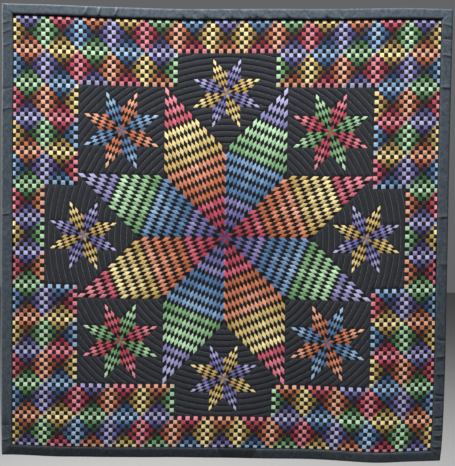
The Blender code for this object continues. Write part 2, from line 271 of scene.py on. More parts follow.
def turned(points, angle):
    """Plan points turned about the plan's middle."""
    c, s = math.cos(angle), math.sin(angle)
    return [(x * c - y * s, x * s + y * c) for x, y in points]


def moved(points, centre):
    """Plan points moved by a centre's place."""
    return [(x + centre[0], y + centre[1]) for x, y in points]


def diamond(side, arm, row=0, column=0, rows=1):
    """One diamond of a star's arm: arm 0 lies between 0 and 45 degrees."""
    first = np.array([1.0, 0.0]) * side / rows
    second = np.array([1.0, 1.0]) / math.sqrt(2) * side / rows
    start = first * row + second * column
    corners = [start, start + first, start + first + second, start + second]
    return turned([tuple(c) for c in corners], arm * math.pi / 4)


def star_centres():
    """The eight small stars: the centre of each, the side of its diamonds, and its two hues."""
    # The ground's corner squares are as wide as the side of an arm's diamond
    corner = (1 + math.sqrt(0.5)) * STAR_SIDE - STAR_SIDE / 2
    # A bay's star is as far from the bay's edge as from the two arms beside it
    bay_edge = (STAR_BLOCKS / 2 + 1) * BLOCK
    bay = (bay_edge * math.sqrt(2) + STAR_SIDE) / (1 + math.sqrt(2))
    corner_hues = [("green", "crimson"), ("blue", "orange"), ("crimson", "green"), ("orange", "blue")]
    bay_hues = [("purple", "gold"), ("gold", "purple"), ("gold", "purple"), ("purple", "gold")]
    found = []
    for quarter in range(4):
        angle = quarter * math.pi / 2
        found.append((turned([(corner, corner)], angle)[0], CORNER_STAR_SIDE, corner_hues[quarter]))
        found.append((turned([(bay, 0.0)], angle)[0], BAY_STAR_SIDE, bay_hues[quarter]))
    return found


def star_edge_distance(x, y, side):
    """How far plan points lie outside an eight-armed star: 0 inside it, and at most the true distance."""
    far = np.hypot(x, y)
    angle = np.arctan2(y, x) % (math.pi / 4)
    fold = np.minimum(angle, math.pi / 4 - angle)
    # From each valley, a side's length out, the star's edge runs at 45 degrees
    past_valley = far * np.cos(fold) - side
    outside = past_valley * math.sin(math.pi / 4) - far * np.sin(fold) * math.cos(math.pi / 4)
    return np.maximum(outside, 0)


def ground_depth(x, y):
    """How far inside the black ground plan points lie, 0 outside it."""
    a, b = np.maximum(abs(x), abs(y)), np.minimum(abs(x), abs(y))
    in_square = GROUND_HALF - a
    in_bay = np.minimum(GROUND_HALF + BLOCK - a, BAY_BLOCKS * BLOCK / 2 - b)
    depth = np.maximum(in_square, in_bay)
    depth = np.minimum(depth, star_edge_distance(x, y, STAR_SIDE))
    for (cx, cy), side, _ in star_centres():
        depth = np.minimum(depth, star_edge_distance(x - cx, y - cy, side))
    return np.maximum(depth, 0)


def inset(polygon, distance):
    """A convex polygon, its corners counter-clockwise, with each side moved in by the distance."""
    made = []
    count = len(polygon)
    for i in range(count):
        (ax, ay), (bx, by), (cx, cy) = polygon[i - 1], polygon[i], polygon[(i + 1) % count]
        first, second = math.atan2(by - ay, bx - ax), math.atan2(cy - by, cx - bx)
        half = ((second - first + math.pi) % (2 * math.pi) - math.pi) / 2
        middle = first + half + math.pi / 2
        reach = distance / math.cos(half)
        made.append((bx + reach * math.cos(middle), by + reach * math.sin(middle)))
    return made


def keeps_sides(polygon, smaller):
    """True where an inset polygon still runs the same way round as the one it came from."""
    for i in range(len(polygon)):
        (ax, ay), (bx, by) = polygon[i - 1], polygon[i]
        (px, py), (qx, qy) = smaller[i - 1], smaller[i]
        if (bx - ax) * (qx - px) + (by - ay) * (qy - py) <= 0:
            return False
    return True


def swell(distance, reach):
    """From 0 on a stitched line to 1 well away from it."""
    return 1 - np.exp(-distance / reach)


def block_relief(x, y):
    """The border's relief: each block is full, and drawn in along its seams."""
    fx, fy = (x + FIELD_WIDTH / 2) / BLOCK % 1, (y + FIELD_WIDTH / 2) / BLOCK % 1
    dx, dy = np.minimum(fx, 1 - fx) * BLOCK, np.minimum(fy, 1 - fy) * BLOCK
    return BLOCK_CREST * swell(dx, DITCH_REACH) * swell(dy, DITCH_REACH)


def star_relief(x, y, centre, side, rows):
    """A star's relief: full between its stitched lines, which part each arm into rows both ways."""
    x, y = x - centre[0], y - centre[1]
    angle = np.arctan2(y, x) % (math.pi / 4)
    far = np.hypot(x, y)
    second = far * np.sin(angle) * math.sqrt(2)
    first = far * np.cos(angle) - second * math.sqrt(0.5)
    cell = side / rows
    away = [np.minimum(p / cell % 1, 1 - p / cell % 1) * cell * math.sqrt(0.5) for p in (first, second)]
    return PATCH_CREST * swell(away[0], DITCH_REACH / 2) * swell(away[1], DITCH_REACH / 2)


def arc_relief(x, y):
    """The black ground's relief: round ridges between the quilted circles."""
    phase = (np.hypot(x, y) - STAR_SIDE) / ARC_SPACING
    return ARC_CREST * np.abs(np.sin(math.pi * phase)) ** ARC_ROUNDNESS


# The side of the squares that sort the places in which patches are looked up
PATCH_TILE = 0.02


class Patchwork:
    """The face's patches and lines on the plan, with the colour of each patch."""

    def __init__(self):
        self.points, self.heights, self.edges, self.patches, self.colours = [], [], [], [], []

    def line(self, points, heights, closed=False):
        first = len(self.points)
        self.points += [tuple(p) for p in points]
        self.heights += list(heights)
        last = len(self.points) - 1
        self.edges += [(i, i + 1) for i in range(first, last)]
        if closed:
            self.edges.append((last, first))

    def patch(self, polygon, colour, relief):
        """One sewn patch: drawn in along its seams, and a little full inside them."""
        first, count = len(self.points), len(polygon)
        self.edges += [(first + i, first + (i + 1) % count) for i in range(count)]
        self.patches.append(np.array(polygon))
        self.colours.append(colour)
        smaller = inset(polygon, SEAM_INSET)
        if not keeps_sides(polygon, smaller):
            smaller = [tuple(np.mean(polygon, axis=0))]
        points = np.array(list(polygon) + smaller)
        full = np.array([0.0] * len(polygon) + [PILLOW_CREST] * len(smaller))
        self.points += [tuple(p) for p in points]
        self.heights += list(relief(points[:, 0], points[:, 1]) + full)

    def patches_at(self, places):
        """The number of the patch that each plan place lies in, or -1 on the plain ground."""
        found = np.full(len(places), -1)
        tile = np.floor(places / PATCH_TILE).astype(int)
        order = np.lexsort((tile[:, 1], tile[:, 0]))
        ends = np.flatnonzero(np.any(np.diff(tile[order], axis=0), axis=1)) + 1
        groups = {tuple(tile[group[0]]): group for group in np.split(order, ends)}
        for number, patch in enumerate(self.patches):
            left, low = np.floor(patch.min(axis=0) / PATCH_TILE).astype(int)
            right, high = np.floor(patch.max(axis=0) / PATCH_TILE).astype(int)
            tiles = [(i, j) for i in range(left, right + 1) for j in range(low, high + 1)]
            near = [groups[place] for place in tiles if place in groups]
            if near:
                near = np.concatenate(near)
                sides = np.roll(patch, -1, axis=0) - patch
                away = places[near][:, None] - patch[None]
                inside = np.all(sides[:, 0] * away[:, :, 1] - sides[:, 1] * away[:, :, 0] > 0, axis=1)
                found[near[inside]] = number
        return found


def black_patch():
    """Black a little lighter or darker, as patches cut from different cloths are."""
    return linear(BLACK) * (1 + rng.uniform(-BLACK_STRAY, BLACK_STRAY))


def band_colour(bands, share, off_spine):
    """The cotton at a share of the way from a star's middle to its tip, paler along the arm's spine."""
    number = min(int(share * len(bands)), len(bands) - 1)
    hue, first, last = bands[number]
    tone = first + (last - first) * (share * len(bands) - number)
    stray = rng.uniform(-DIAMOND_STRAY, DIAMOND_STRAY)
    return dye(hue, tone + SPINE_PALENESS * (1 - 2 * off_spine) + stray)


def sew_star(work, centre, side, rows, ditches, bands_of_arm):
    """A star of eight arms, each pieced from rows of diamonds, every second row black."""
    def relief(x, y):
        return star_relief(x, y, centre, side, ditches)

    for arm in range(8):
        for row in range(rows):
            for column in range(rows):
                share = (row + column) / (2 * rows - 1)
                colour = black_patch()
                if (row + column) % 2 == 0:
                    colour = band_colour(bands_of_arm(arm), share, abs(row - column) / rows)
                work.patch(moved(diamond(side, arm, row, column, rows), centre), colour, relief)


def sew_stars(work):
    bands = [WARM_BANDS, COOL_BANDS]
    sew_star(work, (0.0, 0.0), STAR_SIDE, STAR_ROWS, DITCHES_PER_ARM, lambda arm: bands[arm % 2])
    for centre, side, hues in star_centres():
        sew_star(work, centre, side, SMALL_STAR_ROWS, 1, lambda arm: [(hues[arm % 2], *SMALL_STAR_TONES)])


def border_cells():
    """Each block of the border as (column, row): all but the star's square and its four bays."""
    middle = BLOCKS_ACROSS // 2
    for column in range(BLOCKS_ACROSS):
        for row in range(BLOCKS_ACROSS):
            far_out = max(abs(column - middle), abs(row - middle))
            off_axis = min(abs(column - middle), abs(row - middle))
            in_square = far_out <= STAR_BLOCKS // 2
            in_bay = far_out == STAR_BLOCKS // 2 + 1 and off_axis <= BAY_BLOCKS // 2
            if not (in_square or in_bay):
                yield column, row


def wedge_hue(x, y):
    """The hue of the two wedges that meet on a seam, from the seam's place in half blocks."""
    far_x, far_y = abs(x - BLOCKS_ACROSS) // 2, abs(y - BLOCKS_ACROSS) // 2
    return HUES[(far_x + 2 * far_y + 3 * (x % 2)) % len(HUES)]


def sew_border(work):
    """Blocks of small checks: four wedges to a block, each paler towards the seam it shares."""
    size = BLOCK / CHECKS
    square = np.array([(0, 0), (1, 0), (1, 1), (0, 1)])
    for column, row in border_cells():
        low = np.array([column, row]) * BLOCK - FIELD_WIDTH / 2
        for i in range(CHECKS):
            for j in range(CHECKS):
                u, v = i + 0.5 - CHECKS / 2, j + 0.5 - CHECKS / 2
                check = [tuple(corner) for corner in low + size * (square + (i, j))]
                if (i + j) % 2:
                    work.patch(check, black_patch(), block_relief)
                    continue
                tone = RING_TONES[int(max(abs(u), abs(v)))] + rng.uniform(-CHECK_STRAY, CHECK_STRAY)
                across = dye(wedge_hue(2 * column + 1 + int(np.sign(u)), 2 * row + 1), tone)
                upright = dye(wedge_hue(2 * column + 1, 2 * row + 1 + int(np.sign(v))), tone)
                if abs(u) != abs(v):
                    work.patch(check, across if abs(u) > abs(v) else upright, block_relief)
                    continue
                halves = [check[:3], [check[0], check[2], check[3]]]
                for half, dyed in zip(halves, (across, upright) if u > 0 else (upright, across)):
                    work.patch(half, dyed, block_relief)


# The quilted circles: how closely they are probed for the ground's edges, the step between their points and
# how far they stop from the patches. Then where lines run on each ridge, as shares of the spacing
ARC_PROBE = 0.0015
ARC_STEP = 0.008
ARC_MARGIN = 0.0035
RIDGE_LINES = [-0.5, -0.40, -0.22, 0.0, 0.22, 0.40]


def arc_runs(radius):
    """The stretches of a circle that lie on the black ground, as arrays of angles."""
    count = int(2 * math.pi * radius / ARC_PROBE)
    angles = math.pi / 8 + np.arange(count) * 2 * math.pi / count
    free = ground_depth(radius * np.cos(angles), radius * np.sin(angles)) > ARC_MARGIN
    starts = np.flatnonzero(free & ~np.roll(free, 1))
    ends = np.flatnonzero(free & ~np.roll(free, -1))
    for start, end in zip(starts, ends):
        if (end - start) * ARC_PROBE > ARC_STEP / 2:
            yield angles[start], angles[end]


def on_circle(radius, angles):
    return np.stack([radius * np.cos(angles), radius * np.sin(angles)], axis=1)


def quilted_radii():
    """Each quilted circle on the black ground, from the large star's valleys to the ground's corners."""
    return np.arange(STAR_SIDE + ARC_SPACING / 2, GROUND_HALF * math.sqrt(2), ARC_SPACING)


def quilt_ground(work, step, parts):
    """Lines along the quilted circles and along the ridges between them."""
    for radius in quilted_radii():
        for part in parts:
            here = radius + part * ARC_SPACING
            for start, end in arc_runs(here):
                steps = max(1, round((end - start) * here / step))
                points = on_circle(here, np.linspace(start, end, steps + 1))
                work.line(points, arc_relief(points[:, 0], points[:, 1]))


# The step between the margin's points, and how far even places keep from the corners of an edge
MARGIN_STEP = 0.009
CORNER_CLEAR = 0.003

# Points as near as this become one
MERGE_DISTANCE = 2e-6


def even_places(length, step):
    """Places along an edge of the quilt, clear of its corners."""
    inside = length - 2 * BINDING_WIDTH
    count = round(inside / step)
    ends = [BINDING_WIDTH + CORNER_CLEAR, length - BINDING_WIDTH - CORNER_CLEAR]
    return sorted(ends + [BINDING_WIDTH + inside * k / count for k in range(1, count)])


def edges_round():
    """Each edge, counter-clockwise from the bottom: its name, length, puckers and flat places."""
    half = WIDTH / 2
    right = from_other_end(RIGHT_PUCKERS, HEIGHT)
    top = from_other_end(TOP_PUCKERS, WIDTH)
    return [
        ("bottom", WIDTH, BOTTOM_PUCKERS, lambda a, inward: (a - half, inward - HEIGHT)),
        ("right", HEIGHT, right, lambda a, inward: (half - inward, a - HEIGHT)),
        ("top", WIDTH, top, lambda a, inward: (half - a, -inward)),
        ("left", HEIGHT, LEFT_PUCKERS, lambda a, inward: (inward - half, -a)),
    ]


def from_other_end(puckers, length):
    return [(length - place, half_width, height) for place, half_width, height in puckers]


def frame_points(inward):
    """Round the quilt, counter-clockwise, at a distance in from its edge."""
    points = []
    for _, length, _, place in edges_round():
        points.append(place(inward, inward))
        points += [place(a, inward) for a in even_places(length, MARGIN_STEP)]
    return points


def laid_out(work):
    """A patchwork and its margin cut into triangles: flat points, heights, triangles and rim points."""
    rim = frame_points(BINDING_POCKET)
    inner = frame_points(BINDING_WIDTH)
    count = len(rim)
    edges = [(i, (i + 1) % count) for i in range(count)]
    edges += [(count + i, count + (i + 1) % count) for i in range(count)]
    shift = 2 * count
    points = [Vector(p) for p in rim + inner] + [Vector(p) for p in on_quilt(work.points).tolist()]
    edges += [(a + shift, b + shift) for a, b in work.edges]
    heights = [0.0] * shift + list(work.heights)
    made, _, triangles, origins, _, _ = delaunay_2d_cdt(points, edges, [], 0, MERGE_DISTANCE)
    rim_now = [None] * count
    height = np.zeros(len(made))
    for new, sources in enumerate(origins):
        if len(sources):
            height[new] = heights[sources[0]]
        for source in sources:
            if source < count:
                rim_now[source] = new
    flat = np.array([(p.x, p.y) for p in made])
    return flat, height, np.array(triangles), rim_now


def painted_shadow_edge_lines(work):
    """The narrow strip along the binding that is painted black, a painted shadow of the binding's lip: the
    line where it meets the blocks.
    """
    half = FIELD_WIDTH / 2 - PAINTED_SHADOW_STRIP
    steps = np.linspace(-half, half, BLOCKS_ACROSS * CHECKS + 1)
    line = [(x, -half) for x in steps]
    for quarter in range(4):
        points = np.array(turned(line, quarter * math.pi / 2))
        work.line(points, block_relief(points[:, 0], points[:, 1]))


def face_patchwork():
    work = Patchwork()
    sew_stars(work)
    sew_border(work)
    quilt_ground(work, ARC_STEP, RIDGE_LINES)
    painted_shadow_edge_lines(work)
    return work


# The plain back: the step between its points, the lines on each ridge, the places each way in a block, how
# full a star's cells are near their seams, and how full the back is beside the face
BACK_STEP = 0.012
BACK_RIDGE_LINES = [-0.5, 0.0]
BACK_PLACES = 9
BACK_SHOULDER = 0.7
BACK_FULLNESS = 0.6


def back_quilting():
    """The same quilting seen on the plain backing: its lines, and points on the fullness between them."""
    work = Patchwork()
    quilt_ground(work, BACK_STEP, BACK_RIDGE_LINES)
    for centre, side, rows in stitched_stars():
        steps = max(2, round(side / rows / BACK_STEP))
        for arm in range(8):
            for row in range(rows):
                for column in range(rows):
                    cell = moved(diamond(side, arm, row, column, rows), centre)
                    for k in range(4):
                        work.line(np.linspace(cell[k], cell[(k + 1) % 4], steps), [0.0] * steps)
                    smaller = inset(cell, DITCH_REACH)
                    work.line(smaller, [BACK_SHOULDER * PATCH_CREST] * 4, closed=True)
                    work.line([tuple(np.mean(cell, axis=0))], [PATCH_CREST])
    shares = np.arange(0, 1, 1 / BACK_PLACES)
    for column, row in border_cells():
        x, y = column * BLOCK - FIELD_WIDTH / 2, row * BLOCK - FIELD_WIDTH / 2
        cell = np.array([(x + u * BLOCK, y + v * BLOCK) for u in shares for v in shares])
        work.points += [tuple(p) for p in cell]
        work.heights += list(block_relief(cell[:, 0], cell[:, 1]))
    return work


def stitched_stars():
    """Each star's centre, the side of its arms, and the rows of ditches that part them."""
    yield (0.0, 0.0), STAR_SIDE, DITCHES_PER_ARM
    for centre, side, _ in star_centres():
        yield centre, side, 1


def make_piece(name, points, faces, materials, face_materials=None):
    """A smooth mesh that rides on the quilt's only body."""
    mesh = bpy.data.meshes.new(name)
    mesh.from_pydata(np.asarray(points).tolist(), [], faces)
    for material in materials:
        mesh.materials.append(material)
    if face_materials is not None:
        mesh.polygons.foreach_set("material_index", face_materials)
    mesh.update()
    mesh.shade_smooth()
    piece = bpy.data.objects.new(name, mesh)
    bpy.context.scene.collection.objects.link(piece)
    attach(piece, "root")
    return piece


def paint(mesh, colours):
    """Gives each face its cloth's dye, read by the material. On the binding strips it holds their tones,
    partly painted shade and painted highlight.
    """
    layer = mesh.color_attributes.new("dye", "FLOAT_COLOR", "CORNER")
    corners = np.empty(len(mesh.polygons), int)
    mesh.polygons.foreach_get("loop_total", corners)
    each = np.repeat(np.c_[colours, np.ones(len(colours))], corners, axis=0)
    layer.data.foreach_set("color", each.astype(np.float32).ravel())


def build_quilt(patch_cotton, backing_cotton):
    """The pieced face, the batting's thickness and the plain back, as one closed sheet."""
    work = face_patchwork()
    flat, height, triangles, rim = laid_out(work)
    back_flat, back_height, back_triangles, back_rim = laid_out(back_quilting())
    half = PANEL_THICKNESS / 2
    offset = len(flat)
    front = carried(flat, half + height)
    back = carried(back_flat, -half - BACK_FULLNESS * back_height)
    points = np.concatenate([front, back])
    count = len(rim)
    wall = []
    for i in range(count):
        j = (i + 1) % count
        wall.append([rim[j], rim[i], back_rim[i] + offset, back_rim[j] + offset])
    faces = triangles.tolist() + (back_triangles[:, ::-1] + offset).tolist() + wall
    middles = (flat[triangles].mean(axis=1) + (0, HEIGHT / 2)) / (1, STRETCH)
    colours = np.tile(linear(BACKING), (len(faces), 1))
    dyes = np.array([linear(GROUND_BLACK)] + work.colours)
    colours[: len(triangles)] = dyes[work.patches_at(middles) + 1]
    # Painted shadow: the blocks' outer strip along the binding is black, where the binding's lip casts its
    # shadow
    in_painted_shadow = np.max(abs(middles), axis=1) > FIELD_WIDTH / 2 - PAINTED_SHADOW_STRIP
    colours[: len(triangles)][in_painted_shadow] = linear(BLACK)
    on_back = [0] * len(triangles) + [1] * (len(faces) - len(triangles))
    quilt = make_piece("quilt_sheet", points, faces, [patch_cotton, backing_cotton], on_back)
    paint(quilt.data, colours)
    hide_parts("quilted_panel")
    return quilt


# The quilting stitches

STITCH_PITCH = 0.0040
STITCH_LENGTH = 0.0034
STITCH_WIDTH = 0.0011
STITCH_HEIGHT = 0.0006
STITCH_LIFT = 0.0002


def stitches_on_line(start, end):
    count = max(1, int(math.dist(start, end) / STITCH_PITCH))
    along = (np.arange(count) + 0.5) / count
    start, end = np.array(start), np.array(end)
    return [(start + (end - start) * t, end - start) for t in along]


def arc_stitches():
    """The stitches of the quilted circles, as plan places and directions."""
    found = []
    for radius in quilted_radii():
        edge = radius - ARC_SPACING / 2
        for start, end in arc_runs(edge):
            count = max(1, int((end - start) * edge / STITCH_PITCH))
            angles = start + (np.arange(count) + 0.5) * (end - start) / count
            places = on_circle(edge, angles)
            ways = np.stack([-np.sin(angles), np.cos(angles)], axis=1)
            found += list(zip(places, ways))
    return found


def ditch_stitches():
    """The stitches that run in the seams of stars and blocks, which show on the back."""
    found = []
    for centre, side, rows in stitched_stars():
        for arm in range(8):
            for line in range(rows + 1):
                # The other way, line 0 is the side that the arm before has
                ways = [(arm, arm + 1), (arm + 1, arm)] if line else [(arm, arm + 1)]
                for first, second in ways:
                    start = moved(turned([(side * line / rows, 0.0)], first * math.pi / 4), centre)[0]
                    end = moved(turned([(side, 0.0)], second * math.pi / 4), start)[0]
                    found += stitches_on_line(start, end)
    for column, row in border_cells():
        x, y = column * BLOCK - FIELD_WIDTH / 2, row * BLOCK - FIELD_WIDTH / 2
        found += stitches_on_line((x, y), (x + BLOCK, y))
        found += stitches_on_line((x, y), (x, y + BLOCK))
    return found


def build_stitches(name, placed, side, thread):
    """One spindle of thread for each stitch, lying on the front (side 1) or the back (side -1)."""
    places = on_quilt([p for p, _ in placed])
    ways = np.array([w for _, w in placed], float) * (1, STRETCH)
    ways /= np.linalg.norm(ways, axis=1)[:, None]
    normals = np.stack([-ways[:, 1], ways[:, 0]], axis=1)
    half = side * (PANEL_THICKNESS / 2)
    rings = [
        (places - ways * STITCH_LENGTH / 2, 0.0),
        (places + ways * STITCH_LENGTH / 2, 0.0),
        (places - normals * STITCH_WIDTH / 2, STITCH_HEIGHT / 2),
        (places + normals * STITCH_WIDTH / 2, STITCH_HEIGHT / 2),
        (places, STITCH_HEIGHT),
        (places, -STITCH_HEIGHT / 3),
    ]
    rings = [carried(p, np.full(len(p), half + side * (lift + STITCH_LIFT))) for p, lift in rings]
    points = np.stack(rings, axis=1)
    shape = [(0, 4, 2), (0, 3, 4), (1, 2, 4), (1, 4, 3), (0, 2, 5), (0, 5, 3), (1, 5, 2), (1, 3, 5)]
    if side < 0:
        shape = [face[::-1] for face in shape]
    shape = np.array(shape)
    faces = (shape[None] + 6 * np.arange(len(places))[:, None, None]).reshape(-1, 3)
    piece = make_piece(name, points.reshape(-1, 3), faces.tolist(), [thread])
    return piece


# The binding

# Round a strip's section: front, outer edge, back. Columns: distance in from the edge, distance forward
BINDING_SECTION = [
    (0.0350, 0.0034), (0.0353, 0.0052), (0.0345, 0.0070), (0.0320, 0.0082), (0.0280, 0.0085),
    (0.0170, 0.0076), (0.0085, 0.0069), (0.0056, 0.0061), (0.0034, 0.0046), (0.0016, 0.0028),
    (0.0000, 0.0000), (0.0010, -0.0028), (0.0050, -0.0044), (0.0200, -0.0046), (0.0350, -0.0042),
]
SECTION_POINTS = 38
POCKET_HALF = PANEL_THICKNESS / 2 + SEWING_GAP
BINDING_STEP = 0.0018
SHARP_DEGREES = 55

# How much further the strips' inner lips reach over the face, from this far in
LIP_REACH = {"top": 0.0, "right": 0.0025, "left": 0.0022, "bottom": 0.0020}
LIP_START = 0.017

# The mitres. Steps from a mitre to the first even place, as shares of the way
CORNER_STEPS = [0.0, 0.012, 0.03, 0.06, 0.11, 0.18, 0.27, 0.37, 0.48, 0.60, 0.72, 0.85]
MITRE_GAP = 0.00012
MITRE_DIP = 0.22
MITRE_REACH = 0.002

# The slanting joins of the bottom strip. Columns: place from the left, slope, tone of the cloth before it,
# which is partly the length's own tone and mostly painted shade
STRIP_JOINS = [(0.745, -0.60, 0.50), (0.864, 0.55, 0.38)]
JOIN_HEIGHT = 0.0013
JOIN_REACH = 0.0014
# A painted highlight along each join, where its ridge catches the light
JOIN_PAINTED_HIGHLIGHT = 0.45
# The last length's tone, mostly painted shade
LAST_LENGTH_TONE_AND_SHADE = 0.76

# The right strip's painted shade and light: darker towards its foot and lighter at its top, as the light
# falls. Columns: place from the bottom, how pale
RIGHT_PAINTED_SHADE = [(0.0, 0.72), (0.40, 0.80), (0.85, 1.02), (1.525, 1.16)]

# The crease by each pucker: its half widths as shares of the pucker's, its height, its slant, and how far
# the slants and heights of single creases stray
CREASE_STEEP = 0.24
CREASE_GENTLE = {"top": 0.55, "right": 0.60, "left": 0.30, "bottom": 0.30}
CREASE_HEIGHT = {"top": 0.0036, "right": 0.0020, "left": 0.0016, "bottom": 0.0016}
CREASE_SLANT = {"top": 0.30, "right": 0.12, "left": -0.20, "bottom": 0.30}
CREASE_STRAY = {"top": 0.12, "right": 0.25, "left": 0.25, "bottom": 0.25}
CREASE_SHARES = (0.6, 1.2)

# The top strip's puckers are fuller. Right of this place they lean the other way, and are fuller still
TOP_FULLNESS = 1.6
TOP_TURN = 0.50
TURNED_FULLNESS = 2.3
TURNED_SLANT = -0.42

# The small wrinkles of each strip, and how far they keep from its ends
SMALL_WRINKLES = {"top": 60, "right": 70, "left": 26, "bottom": 12}
SMALL_HEIGHT = 0.0005
SMALL_WIDTHS = (0.0025, 0.006)
SMALL_SLANT = 0.7
SMALL_CLEAR = 0.05

# How roundly wrinkles fade towards a strip's seams, and how much of its fullness they may take
WRINKLE_ROUNDNESS = 0.7
DEEPEST_WRINKLE = 0.9

# The creases that run out from each corner's mitre. The places are from the strip's end
CORNER_CREASES = [0.012, 0.024, 0.037]
CORNER_CREASE_WIDTH = 0.0022
CORNER_CREASE_DEPTH = 0.0006
CORNER_CREASE_SLANT = 0.8


def binding_section():
    """Round a strip's section: front, outer edge and back in a smooth curve, then the panel's pocket."""
    index = range(len(BINDING_SECTION))
    share = np.linspace(0, len(BINDING_SECTION) - 1, SECTION_POINTS)
    inward = eased([(i, row[0]) for i, row in zip(index, BINDING_SECTION)], share)
    forward = eased([(i, row[1]) for i, row in zip(index, BINDING_SECTION)], share)
    bottom = BINDING_POCKET - SEWING_GAP
    inner = [
        (BINDING_WIDTH, -POCKET_HALF), (bottom, -POCKET_HALF),
        (bottom, POCKET_HALF), (BINDING_WIDTH, POCKET_HALF),
    ]
    return list(zip(inward.tolist(), forward.tolist())) + inner


def wrinkles(edge, length, puckers):
    """A strip's wrinkles: puckers, each with a crease that is steeper on one side, and small ones.

    Each is (place, half width before it, half width after it, height, slant).
    """
    made = []
    for place, width, height in puckers:
        slant = CREASE_SLANT[edge]
        if edge == "top" and place > length - TOP_TURN:
            height *= TOP_FULLNESS
        elif edge == "top":
            height *= TURNED_FULLNESS
            slant = TURNED_SLANT
        made.append((place, width, width, height, slant))
        sharp = CREASE_HEIGHT[edge] * np.sign(height) * rng.uniform(*CREASE_SHARES)
        lean = slant + CREASE_STRAY[edge] * rng.uniform(-1, 1)
        made.append((place, width * CREASE_STEEP, width * CREASE_GENTLE[edge], sharp, lean))
    for _ in range(SMALL_WRINKLES[edge]):
        place = rng.uniform(SMALL_CLEAR, length - SMALL_CLEAR)
        height = SMALL_HEIGHT * rng.uniform(-1.0, 1.0)
        width = rng.uniform(*SMALL_WIDTHS)
        made.append((place, width, width, height, rng.uniform(-SMALL_SLANT, SMALL_SLANT)))
    width, depth, slant = CORNER_CREASE_WIDTH, CORNER_CREASE_DEPTH, CORNER_CREASE_SLANT
    for place in CORNER_CREASES:
        made.append((place, width, width, -depth, slant))
        made.append((length - place, width, width, -depth, -slant))
    return made


def past_join(along, inward, place, slope):
    """How far points of the bottom strip lie past one of its slanting joins."""
    return (along - place - slope * (inward - BINDING_WIDTH / 2)) / math.hypot(1, slope)


def raised(edge, along, inward, creases):
    """How far a strip's front stands above its plain section at places along it."""
    middle = BINDING_WIDTH / 2
    across = math.sin(math.pi * min(max(inward / BINDING_WIDTH, 0.0), 1.0)) ** WRINKLE_ROUNDNESS
    total = np.zeros(len(along))
    for place, before, after, height, slant in creases:
        away = along - place - slant * (inward - middle)
        total += height * np.exp(-((away / np.where(away < 0, before, after)) ** 2))
    if edge == "bottom":
        for place, slope, _ in STRIP_JOINS:
            away = past_join(along, inward, place, slope)
            total += JOIN_HEIGHT * np.exp(-((away / JOIN_REACH) ** 2))
    return total * across


def cloth_tone_and_painted_shade(edge, along, inward):
    """How pale a strip's cloth is painted at places along it, partly painted shade. The right strip is
    painted darker towards its foot and lighter at its top, as the light falls. The bottom strip is pieced
    from three lengths of a little different tone, and all of it is painted darker, mostly painted shade
    where it faces down out of the light.
    """
    tone = eased(RIGHT_PAINTED_SHADE, along) if edge == "right" else np.ones(len(along))
    if edge == "bottom":
        # Painted shade: the whole bottom strip is darkened, each length a little more or less
        tone *= LAST_LENGTH_TONE_AND_SHADE
        for place, slope, before in reversed(STRIP_JOINS):
            away = past_join(along, inward, place, slope)
            tone[away < 0] = before
            # A painted highlight along the join's ridge
            tone += JOIN_PAINTED_HIGHLIGHT * np.exp(-((away / JOIN_REACH) ** 2))
    return tone


def build_binding(edge, length, puckers, place, cotton):
    """One padded strip of binding, mitred where it meets its neighbours."""
    creases = wrinkles(edge, length, puckers)
    middle = even_places(length, BINDING_STEP)
    rings, tones = [], []
    for inward, forward in binding_section():
        lip = LIP_REACH[edge] * min(max(inward - LIP_START, 0) / (BINDING_WIDTH - LIP_START), 1)
        reach = inward + (lip if forward > POCKET_HALF else 0)
        mitre = reach + MITRE_GAP
        near = [mitre + (middle[0] - mitre) * u for u in CORNER_STEPS]
        along = np.array(near + middle + [length - a for a in reversed(near)])
        lift = np.full(len(along), forward)
        if forward > 0 and inward < BINDING_WIDTH:
            from_mitre = np.minimum(along - mitre, length - mitre - along)
            dip = MITRE_DIP * np.exp(-from_mitre / MITRE_REACH)
            above = max(forward - POCKET_HALF, 0)
            lift = forward - above * dip + raised(edge, along, inward, creases)
            lift = np.maximum(lift, forward - above * DEEPEST_WRINKLE)
        rings.append(carried([place(a, reach) for a in along], lift))
        tones.append(cloth_tone_and_painted_shade(edge, along[:-1], inward))
    points = np.concatenate(rings)
    count, around = len(rings[0]), len(rings)
    faces = [[i * count for i in reversed(range(around))], [i * count + count - 1 for i in range(around)]]
    for i in range(around):
        ring, after = i * count, (i + 1) % around * count
        faces += [[ring + k, after + k, after + k + 1, ring + k + 1] for k in range(count - 1)]
    strip = make_piece("binding_strip_" + edge, points, faces, [cotton])
    # The strips' tones, partly painted shade and painted highlight, go into the dye that the material reads
    paint(strip.data, np.concatenate([[tones[0][0], tones[0][-1]], *tones])[:, None] * np.ones(3))
    strip.data.set_sharp_from_angle(angle=math.radians(SHARP_DEGREES))
    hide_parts("binding_" + edge)
    return strip


# Materials

# A band texture of scale 1 repeats every 2 pi / 20 metres
YARN_PITCH = 0.00055
YARN_SCALE = 2 * math.pi / (20 * YARN_PITCH)
YARN_WANDER = 1.2
BUMP_DEPTH = 0.0003

# Noise textures. Columns: scale, detail
DRIFT_NOISE = (90.0, 5.0)
CLOUDY_NOISE = (110.0, 8.0)
FUZZ_NOISE = (2600.0, 2.0)
THREAD_NOISE = (900.0, 1.0)

# How the cloths and the thread take light
COTTON_SURFACE = {
    "Roughness": 0.88, "Sheen Weight": 0.04,
    "Sheen Roughness": 0.6, "Specular IOR Level": 0.12,
}
THREAD_SURFACE = {"Roughness": 0.6, "Sheen Weight": 0.2}


